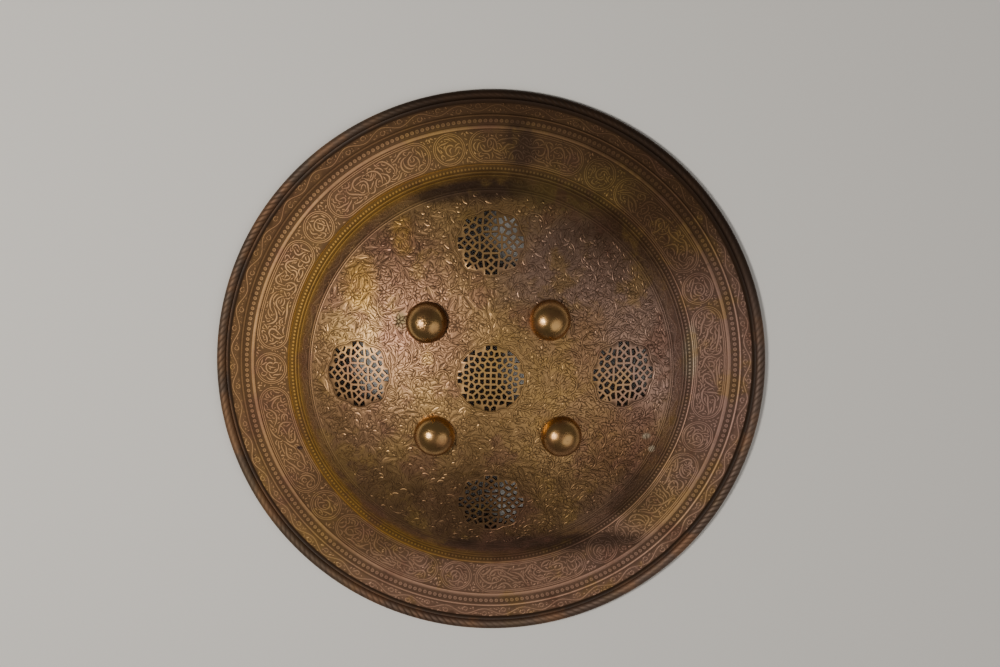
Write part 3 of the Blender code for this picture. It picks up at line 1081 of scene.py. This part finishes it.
def build_dome(material):
    relief, edge, holes = dome_relief(Ground(RIM_RADIUS + 4))
    solid = Solid()
    went_to = front_of(relief, [hole[0] for hole in holes], solid)
    front = np.concatenate(solid.blocks)
    points, edges, loops = [], [], []

    def back_outline(outline):
        first = len(points)
        points.extend(outline)
        count = len(outline)
        edges.extend((first + i, first + (i + 1) % count) for i in range(count))
        return range(first, first + count)

    border = back_outline(lay_on_sheet(circle(DOME_RADIUS, CIRCLE_POINTS), -WALL).tolist())
    shaping = np.concatenate([lay_on_sheet(circle(r, n), -WALL) for r, n in BACK_CIRCLES])
    for loop, down in holes:
        upper = front[[went_to[i] for i in loop]]
        outline = (upper + np.array(down)).tolist()
        loops.append(back_outline(outline))
        inside = in_outline([point[:2] for point in outline], shaping[:, 0], shaping[:, 1])
        shaping = shaping[~inside]
    points.extend(shaping.tolist())
    plan, faces, origins = triangulate([point[:2] for point in points], edges)
    heights = lay_on_sheet(plan, -WALL)
    placed = {}
    for i, olds in enumerate(origins):
        for old in olds:
            placed[old] = i
            heights[i] = points[old]
    first = solid.add_points(heights, BACK_TONE)
    solid.add_faces((outside_loops(faces, loops, placed)[:, ::-1] + first).tolist())
    solid.bridge([went_to[i] for i in edge], [placed[i] + first for i in border])
    for (upper, down), lower in zip(holes, loops):
        solid.bridge([placed[i] + first for i in lower], [went_to[i] for i in upper])
    solid.make("shield_dome", "shield_plate", material)


def build_brim(material):
    relief, inner, outer = brim_relief(Ground(RIM_RADIUS + 4))
    solid = Solid()
    went_to = front_of(relief, [inner], solid)
    inner = [went_to[i] for i in inner]
    outer = [went_to[i] for i in outer]
    loops = [back_loop(solid, radius, CIRCLE_POINTS) for radius in BRIM_BACK_RADII]
    for upper, lower in zip([outer] + loops, loops + [inner]):
        solid.bridge(upper, lower)
    solid.make("shield_brim", "shield_plate", material)


RIM_TOP_STEPS = 15
RIM_SIDE_STEPS = 5
RIM_BACK_STEPS = 4


def rim_sections():
    """Angles round the rim's oval, its size and the heights where the sheet meets it."""
    half_width = RIM_WIDTH / 2
    flat_angle = math.acos(REST_WIDTH / RIM_WIDTH)
    half_height = RIM_HEIGHT / (1 + math.sin(flat_angle))
    centre = RIM_HEIGHT - half_height

    def inner_angle(height):
        return math.pi - math.asin((height - centre) / half_height)

    last_angle = TURN - inner_angle(BRIM_EDGE_HEIGHT - WALL)
    over = np.linspace(inner_angle(BRIM_EDGE_HEIGHT), 0.0, RIM_TOP_STEPS)
    down = np.linspace(0.0, -flat_angle, RIM_SIDE_STEPS)[1:]
    back = -np.linspace(math.pi - flat_angle, last_angle, RIM_BACK_STEPS)
    return np.concatenate((over, down, back)), half_width, half_height, centre


def build_rim(material):
    """The border, the bead row and the rolled rim with its worn cable of slanting gadroons."""
    relief, inner, outer = rim_relief(Ground(RIM_RADIUS + 4))
    solid = Solid()
    went_to = front_of(relief, [inner], solid)
    inner = [went_to[i] for i in inner]
    outer = [went_to[i] for i in outer]
    angles = np.arange(RIM_POINTS) / RIM_POINTS * TURN
    worn = 0.62 + 0.38 * np.sin(3 * angles + 0.8) * np.sin(7 * angles + 2.0)
    sections, half_width, half_height, centre = rim_sections()
    middle = RIM_RADIUS - half_width
    loops = []
    for section in sections:
        top = max(0.0, math.sin(section)) ** 0.8
        phase = RIM_GADROONS * angles + GADROON_TWIST * section
        carve = GADROON_DEPTH * top * worn * (0.5 - 0.5 * np.cos(phase)) ** 2
        radius = middle + (half_width - carve) * math.cos(section)
        height = centre + (half_height - carve) * math.sin(section)
        points = np.column_stack((radius * np.cos(angles), radius * np.sin(angles), height))
        tone = 0.9 - 3.2 * carve if section > 0 else BACK_TONE
        start = solid.add_points(points, tone)
        loops.append(list(range(start, start + RIM_POINTS)))
    loops.append(back_loop(solid, BRIM_OUTER_RADIUS, RIM_POINTS))
    loops.append(back_loop(solid, MIDDLE_RIDGE_RADIUS, RIM_POINTS))
    for upper, lower in zip([outer] + loops, loops + [inner]):
        solid.bridge(upper, lower)
    solid.make("shield_rim", "shield_plate", material)


# Bosses

BOSS_COLUMNS = 96
BOSS_CAP_RINGS = 40
BOSS_CAVITY_RINGS = 8
PETALS = 8


def boss_section():
    """Half of a boss's section, from its apex over the outside, and back to its middle below."""
    cavity_radius = BOSS_RADIUS - BOSS_WALL
    seat = SEAT_GAP - float(dome_drop(cavity_radius))
    springing = seat + BOSS_FOOT_HEIGHT
    head_radius = SHANK_RADIUS + HEAD_WIDTH
    head_height = -WALL - float(dome_drop(head_radius)) - 2 * SEAT_GAP

    def arc(radius, top, angle):
        return (radius * math.cos(angle), springing + (top - springing) * math.sin(angle))

    cap_turns = np.linspace(math.pi / 2, 0.0, BOSS_CAP_RINGS)
    outer = [arc(BOSS_RADIUS, BOSS_HEIGHT, angle) for angle in cap_turns]
    cavity_turns = np.linspace(0.0, math.acos(SHANK_RADIUS / cavity_radius), BOSS_CAVITY_RINGS)
    inner = [arc(cavity_radius, BOSS_HEIGHT - BOSS_WALL, angle) for angle in cavity_turns]
    below = [
        (BOSS_RADIUS, seat),
        (cavity_radius, seat),
        *inner,
        (SHANK_RADIUS, head_height),
        (head_radius, head_height),
        (head_radius, head_height - HEAD_THICKNESS + 0.4),
        (head_radius - 0.5, head_height - HEAD_THICKNESS),
    ]
    return outer[1:], below, head_height - HEAD_THICKNESS


def boss_groove(style, radius, angle):
    """How deep the engraving of a boss is at this place of its cap, in millimetres."""
    if style == "flower":
        petal_edge = 4.6 + 1.1 * math.cos(PETALS * angle)
        ring = math.exp(-(((radius - 1.9) / 0.3) ** 2))
        return 0.16 * ring + 0.16 * math.exp(-(((radius - petal_edge) / 0.35) ** 2))
    swing = 9.5 + 1.6 * math.sin(3 * angle + 0.7)
    return 0.1 * math.exp(-(((radius - swing) / 0.3) ** 2))


def build_boss(name, x, y, style, material):
    origin, turn = standing_frame(x, y)
    outer, below, bottom = boss_section()
    solid = Solid()

    def placed(point):
        return origin + turn @ Vector(point)

    apex = solid.add_points([placed((0.0, 0.0, BOSS_HEIGHT))], 0.9)
    loops = []
    for radius, height in outer + below:
        points, values = [], []
        on_cap = height > outer[-1][1] and radius < BOSS_RADIUS
        for i in range(BOSS_COLUMNS):
            angle = TURN * i / BOSS_COLUMNS
            depth = boss_groove(style, radius, angle) if on_cap else 0.0
            points.append(placed((*polar(radius, angle), height - depth)))
            values.append(1.0 - 5 * depth)
        start = solid.add_points(points, values)
        loops.append(list(range(start, start + BOSS_COLUMNS)))
    last = solid.add_points([placed((0.0, 0.0, bottom))], 0.4)
    for upper, lower in zip(loops, loops[1:]):
        solid.bridge(upper, lower)
    count = BOSS_COLUMNS
    solid.add_faces([(apex, loops[0][i], loops[0][(i + 1) % count]) for i in range(count)])
    solid.add_faces([(last, loops[-1][(i + 1) % count], loops[-1][i]) for i in range(count)])
    solid.make(name + "_finished", name, material)


# Materials

class Shading:
    """A material's nodes, with short ways to add the few kinds that the metals use."""

    def __init__(self, name):
        self.material = bpy.data.materials.new(name)
        self.material.use_nodes = True
        self.nodes = self.material.node_tree.nodes
        self.links = self.material.node_tree.links
        self.shader = self.nodes["Principled BSDF"]
        self.place = self.nodes.new("ShaderNodeTexCoord").outputs["Object"]

    def join(self, source, socket):
        if hasattr(source, "node"):
            self.links.new(source, socket)
        else:
            socket.default_value = source

    def relief(self):
        node = self.nodes.new("ShaderNodeAttribute")
        node.attribute_name = "relief"
        return node.outputs["Fac"]

    def noise(self, scale, detail=3.0, place=None, roughness=0.55):
        node = self.nodes.new("ShaderNodeTexNoise")
        node.inputs["Scale"].default_value = scale
        node.inputs["Detail"].default_value = detail
        node.inputs["Roughness"].default_value = roughness
        self.links.new(place or self.place, node.inputs["Vector"])
        return node.outputs["Fac"]

    def remap(self, value, low, high, to_low=0.0, to_high=1.0):
        node = self.nodes.new("ShaderNodeMapRange")
        node.interpolation_type = "SMOOTHSTEP"
        self.join(value, node.inputs["Value"])
        numbers = {"From Min": low, "From Max": high, "To Min": to_low, "To Max": to_high}
        for name, number in numbers.items():
            node.inputs[name].default_value = number
        return node.outputs["Result"]

    def math(self, operation, first, second=0.0):
        """A Math node, with a link or a number in each of its first two sockets."""
        node = self.nodes.new("ShaderNodeMath")
        node.operation = operation
        self.join(first, node.inputs[0])
        self.join(second, node.inputs[1])
        return node.outputs["Value"]

    def plus(self, first, second):
        return self.math("ADD", first, second)

    def less(self, first, second):
        return self.math("SUBTRACT", first, second)

    def times(self, first, second):
        return self.math("MULTIPLY", first, second)

    def band(self, value, rise_from, rise_to, fall_from, fall_to):
        """1 between the middle two values, with a soft edge on both sides."""
        return self.times(self.remap(value, rise_from, rise_to), self.remap(value, fall_to, fall_from))

    def distance(self, x, y):
        return self.math("SQRT", self.plus(self.times(x, x), self.times(y, y)))

    def mix(self, factor, first, second):
        node = self.nodes.new("ShaderNodeMix")
        node.data_type = "RGBA"
        self.join(factor, node.inputs["Factor"])
        for value, socket in ((first, node.inputs["A"]), (second, node.inputs["B"])):
            socket = [s for s in node.inputs if s.name == socket.name and s.type == "RGBA"][0]
            self.join((*value, 1.0) if isinstance(value, tuple) else value, socket)
        return [s for s in node.outputs if s.type == "RGBA"][0]

    def stretched(self, scale, turn=0.0):
        node = self.nodes.new("ShaderNodeMapping")
        node.inputs["Scale"].default_value = scale
        node.inputs["Rotation"].default_value = (0.0, 0.0, turn)
        self.links.new(self.place, node.inputs["Vector"])
        return node.outputs["Vector"]

    def plan_place(self):
        node = self.nodes.new("ShaderNodeSeparateXYZ")
        self.links.new(self.place, node.inputs["Vector"])
        return node.outputs["X"], node.outputs["Y"]

    def bump(self, height, strength, distance):
        node = self.nodes.new("ShaderNodeBump")
        node.inputs["Strength"].default_value = strength
        node.inputs["Distance"].default_value = distance
        self.links.new(height, node.inputs["Height"])
        return node.outputs["Normal"]


# Patches of the patina, with painted shade and painted highlights among them: middle and half sizes in
# plan millimetres, colour, and how strongly
TAN = (0.39, 0.225, 0.105)
GOLD = (0.56, 0.35, 0.135)
GILT = (0.60, 0.34, 0.07)
OLIVE = (0.38, 0.26, 0.085)
CHESTNUT = (0.25, 0.135, 0.08)
ROSE = (0.48, 0.31, 0.25)
COPPER = (0.45, 0.28, 0.235)
PEACH = (0.48, 0.29, 0.215)
UMBER = (0.17, 0.09, 0.045)
STAIN = (0.09, 0.055, 0.045)
SHADED = (0.04, 0.025, 0.018)
PALE = (0.66, 0.56, 0.40)
VERDIGRIS = (0.045, 0.055, 0.025)
RUSSET = (0.22, 0.105, 0.065)
DUSK = (0.25, 0.135, 0.085)
PLUM = (0.43, 0.275, 0.22)

# Radii in metres between which a tone of the sheet comes in, or comes in and goes out again
GOLD_RING_RADII = (0.1555, 0.161, 0.169, 0.1715)
COVE_RADII = (0.2185, 0.2195, 0.2215, 0.2225)
BORDER_RADII = (0.203, 0.208)
RIM_RADII = (0.2195, 0.2215)
SHADED_RADII = (0.160, 0.180)
DULL_RADII = (0.150, 0.172)
BRIM_DULLNESS = 0.2

# Colours of the sheet's two sorts of brass, its mottling, the painted shade of its cove, its rim, pits and
# engraved lines
BROWN_BRASS = (0.38, 0.22, 0.12)
YELLOW_BRASS = (0.46, 0.285, 0.125)
MOTTLE_DARK = (0.29, 0.145, 0.10)
MOTTLE_GOLD = (0.50, 0.31, 0.10)
COVE_PAINTED_SHADE = (0.03, 0.02, 0.015)
RIM_GREY = (0.11, 0.09, 0.08)
RIM_RUST = (0.23, 0.135, 0.085)
PITTED = (0.10, 0.065, 0.045)
ENGRAVED = (0.05, 0.026, 0.013)
PATCHES = (
    # Broad tones
    ((-185, 20), (70, 150), TAN, 0.75),
    ((-10, -10), (70, 80), GOLD, 0.55),
    ((-80, 75), (62, 52), DUSK, 0.85),
    ((75, 90), (75, 48), PLUM, 0.85),
    ((128, 15), (40, 75), ROSE, 0.8),
    ((188, 0), (55, 130), COPPER, 0.8),
    ((0, -190), (150, 50), PEACH, 0.75),
    ((130, -140), (70, 60), COPPER, 0.6),
    # The umber patches at the top and upper right of the brim and rim, and on the foot's lower side,
    # darken where the sheet faces away from the light: painted shade as well as patina
    ((30, 185), (90, 28), UMBER, 0.4),
    ((135, 140), (75, 70), UMBER, 0.85),
    ((40, 225), (150, 22), UMBER, 0.7),
    ((-110, -112), (55, 50), UMBER, 0.45),
    ((0, -150), (120, 20), UMBER, 0.6),
    # Stains and gold at the top and the right
    ((-2, 152), (58, 12), STAIN, 0.85),
    ((-45, 146), (26, 9), STAIN, 0.7),
    ((60, 142), (34, 10), STAIN, 0.6),
    ((24, 184), (15, 25), STAIN, 0.75),
    ((-30, 183), (24, 17), GOLD, 0.6),
    ((75, 150), (55, 22), OLIVE, 0.6),
    ((138, -122), (30, 24), GOLD, 0.6),
    ((190, -35), (28, 30), COPPER, 0.6),
    # The dome
    ((110, -58), (38, 42), RUSSET, 0.65),
    ((10, -108), (90, 40), UMBER, 0.5),
    ((-50, 32), (44, 40), CHESTNUT, 0.85),
    ((-112, 38), (24, 34), GOLD, 0.6),
    ((100, -92), (34, 34), UMBER, 0.45),
    # Stains at the bottom, a painted highlight on the foot at the right, pale flecks and verdigris
    ((45, -150), (95, 9), STAIN, 0.75),
    ((120, -108), (24, 26), STAIN, 0.5),
    # Painted highlight: a long pale streak on the foot at the right, where it faces away from the key
    # light
    ((166, 12), (7, 24), PALE, 0.6),
    ((129, -55), (4, 3), PALE, 0.9),
    ((134, -67), (3, 3), PALE, 0.8),
    ((-73, 45), (6, 10), VERDIGRIS, 0.7),
    ((-161, -70), (3, 2), STAIN, 1.0),
    # Gold spots and the dome's left edge
    ((-72, 114), (10, 16), GILT, 0.6),
    ((-108, 74), (16, 24), GILT, 0.55),
    ((-62, -62), (30, 22), GOLD, 0.6),
    ((-128, -20), (16, 50), TAN, 0.5),
)


def aged_brass():
    """Engraved sheet brass: brown patina in the ground, worn bright tops, and stains, painted shade and
    painted highlights by place.
    """
    m = Shading("aged_brass_worn")
    relief = m.relief()
    broad = m.noise(9.0, 4.0)
    middle = m.noise(45.0, 5.0, roughness=0.65)
    fine = m.noise(420.0, 3.0)
    speck = m.noise(160.0, 6.0, roughness=0.7)
    x, y = m.plan_place()
    radius = m.distance(x, y)
    tone = m.mix(m.remap(broad, 0.35, 0.65), BROWN_BRASS, YELLOW_BRASS)
    # Patches with wavering edges
    waver = m.times(m.less(middle, 0.5), 0.9)
    for (patch_x, patch_y), (half_x, half_y), colour, strength in PATCHES:
        dx = m.math("DIVIDE", m.less(x, patch_x * MM), half_x * MM)
        dy = m.math("DIVIDE", m.less(y, patch_y * MM), half_y * MM)
        cover = m.remap(m.plus(m.distance(dx, dy), waver), 1.25, 0.45, 0.0, strength)
        tone = m.mix(cover, tone, colour)
    # A gilt band on the foot, on its left side only, where the foot faces the light: brass colour and
    # painted highlight both
    gold_ring = m.band(radius, *GOLD_RING_RADII)
    lit_left_side = m.remap(m.plus(x, m.times(waver, 0.05)), 0.06, -0.09)
    tone = m.mix(m.times(m.times(gold_ring, lit_left_side), 0.8), tone, GILT)
    # Mottling all over, then darker from the border and the rim outwards, towards the upper sides
    mottle = m.noise(24.0, 4.0, roughness=0.6)
    tone = m.mix(m.remap(mottle, 0.52, 0.66, 0.0, 0.6), tone, MOTTLE_DARK)
    tone = m.mix(m.remap(mottle, 0.46, 0.34, 0.0, 0.5), tone, MOTTLE_GOLD)
    upwards = m.less(m.times(y, 0.85), m.times(x, 0.5))
    border = m.times(m.remap(radius, *BORDER_RADII), m.remap(upwards, 0.0, 0.19, 0.0, 0.6))
    tone = m.mix(border, tone, UMBER)
    # Painted shade: the cove inside the rolled rim is darkened to near black, as the shadow of a deep
    # groove would be
    cove = m.band(radius, *COVE_RADII)
    tone = m.mix(cove, tone, COVE_PAINTED_SHADE)
    rim = m.remap(radius, *RIM_RADII)
    rim_tone = m.mix(m.remap(m.noise(22.0, 4.0), 0.45, 0.6), RIM_GREY, RIM_RUST)
    tone = m.mix(m.times(rim, 0.8), tone, rim_tone)
    aside = m.plus(m.times(y, 0.88), m.times(x, 0.46))
    shaded = m.remap(aside, 0.10, 0.20, 0.0, 0.45)
    tone = m.mix(m.times(m.remap(radius, *SHADED_RADII), shaded), tone, SHADED)
    tone = m.mix(m.times(rim, m.remap(aside, 0.11, 0.19, 0.0, 0.8)), tone, SHADED)
    # Pits, and engraved lines that are darker and rougher than the worn tops
    tone = m.mix(m.remap(speck, 0.56, 0.74, 0.0, 0.55), tone, PITTED)
    ground = m.mix(0.74, tone, ENGRAVED)
    worn = m.plus(relief, m.times(m.less(middle, 0.5), 0.5))
    colour = m.mix(m.remap(worn, 0.0, 0.95), ground, tone)
    m.join(colour, m.shader.inputs["Base Color"])
    metal = m.remap(worn, 0.0, 1.0, 0.88, 1.0)
    m.join(metal, m.shader.inputs["Metallic"])
    uneven = m.times(m.less(middle, 0.5), 0.25)
    rough = m.plus(m.remap(worn, 0.1, 1.0, 0.56, 0.42), uneven)
    rough = m.plus(rough, m.remap(radius, *DULL_RADII, 0.0, BRIM_DULLNESS))
    m.join(rough, m.shader.inputs["Roughness"])
    hammer = m.plus(m.times(middle, 0.6), m.times(fine, 0.4))
    m.join(m.bump(hammer, 0.35, 0.0006), m.shader.inputs["Normal"])
    return m.material


def polished_brass():
    """Rubbed brass of the bosses, with dark hollows and fine scratches."""
    m = Shading("polished_brass_rubbed")
    relief = m.relief()
    broad = m.noise(60.0, 4.0)
    speck = m.noise(330.0, 5.0, roughness=0.7)
    tone = m.mix(m.remap(broad, 0.35, 0.68), (0.48, 0.29, 0.115), (0.32, 0.17, 0.075))
    tone = m.mix(m.remap(speck, 0.55, 0.75, 0.0, 0.6), tone, (0.12, 0.075, 0.04))
    colour = m.mix(m.remap(relief, 0.1, 0.9), (0.07, 0.045, 0.025), tone)
    m.join(colour, m.shader.inputs["Base Color"])
    m.shader.inputs["Metallic"].default_value = 1.0
    m.join(m.remap(broad, 0.3, 0.7, 0.2, 0.36), m.shader.inputs["Roughness"])
    scratches = m.noise(1.0, 2.0, m.stretched((260.0, 2600.0, 900.0), 0.6))
    rubbed = m.plus(m.times(scratches, 0.5), m.times(speck, 0.5))
    m.join(m.bump(rubbed, 0.3, 0.0004), m.shader.inputs["Normal"])
    return m.material


# Floor, light and camera

FLOOR_REACH = 4.0
PAPER = (0.84, 0.83, 0.81, 1.0)
STUDIO_AIR = (0.90, 0.87, 0.82, 1.0)
STUDIO_STRENGTH = 0.15


def build_floor():
    """A plain pale floor under the shield."""
    size = FLOOR_REACH
    mesh = bpy.data.meshes.new("floor")
    corners = [(-size, -size, 0.0), (size, -size, 0.0), (size, size, 0.0), (-size, size, 0.0)]
    mesh.from_pydata(corners, [], [(0, 1, 2, 3)])
    paper = bpy.data.materials.new("studio_paper")
    paper.use_nodes = True
    shader = paper.node_tree.nodes["Principled BSDF"]
    shader.inputs["Base Color"].default_value = PAPER
    shader.inputs["Roughness"].default_value = 0.85
    mesh.materials.append(paper)
    floor = bpy.data.objects.new("floor", mesh)
    bpy.context.scene.collection.objects.link(floor)


def add_light(name, place, target, power, width, colour):
    data = bpy.data.lights.new(name, "AREA")
    data.shape = "DISK"
    data.size = width
    data.energy = power
    data.color = colour
    lamp = bpy.data.objects.new(name, data)
    lamp.location = place
    lamp.rotation_euler = (Vector(target) - Vector(place)).to_track_quat("-Z", "Y").to_euler()
    bpy.context.scene.collection.objects.link(lamp)


# Each light's name, place, aim, power in watts, width and colour
LIGHTS = (
    ("key", (-0.90, 0.10, 1.46), (-0.02, 0.0, 0.03), 18.0, 0.42, (1.0, 0.95, 0.87)),
    ("fill", (1.05, -0.55, 1.4), (0.05, 0.0, 0.0), 7.5, 1.9, (1.0, 0.95, 0.90)),
)


def build_lights():
    for light in LIGHTS:
        add_light(*light)
    world = bpy.data.worlds.new("studio")
    world.use_nodes = True
    background = world.node_tree.nodes["Background"]
    background.inputs["Color"].default_value = STUDIO_AIR
    background.inputs["Strength"].default_value = STUDIO_STRENGTH
    bpy.context.scene.world = world


CAMERA_TILT = math.radians(10.0)
CAMERA_DISTANCE = 1.98
AIM = Vector((0.0075, 0.0256, 0.0))


def build_camera():
    data = bpy.data.cameras.new("camera")
    data.lens = 85.0
    data.sensor_width = 36.0
    camera = bpy.data.objects.new("camera", data)
    away = Vector((0.0, math.sin(CAMERA_TILT), math.cos(CAMERA_TILT)))
    camera.location = AIM + away * CAMERA_DISTANCE
    camera.rotation_euler = (-CAMERA_TILT, 0.0, 0.0)
    bpy.context.scene.collection.objects.link(camera)
    bpy.context.scene.camera = camera


# Everything is made here

sheet_brass = aged_brass()
boss_brass = polished_brass()
build_dome(sheet_brass)
build_brim(sheet_brass)
build_rim(sheet_brass)
for boss_name, (boss_x, boss_y) in BOSS_PLACES.items():
    boss_style = "flower" if boss_name == "boss_upper_left" else "scratched"
    build_boss(boss_name, boss_x, boss_y, boss_style, boss_brass)
build_floor()
build_lights()
build_camera()
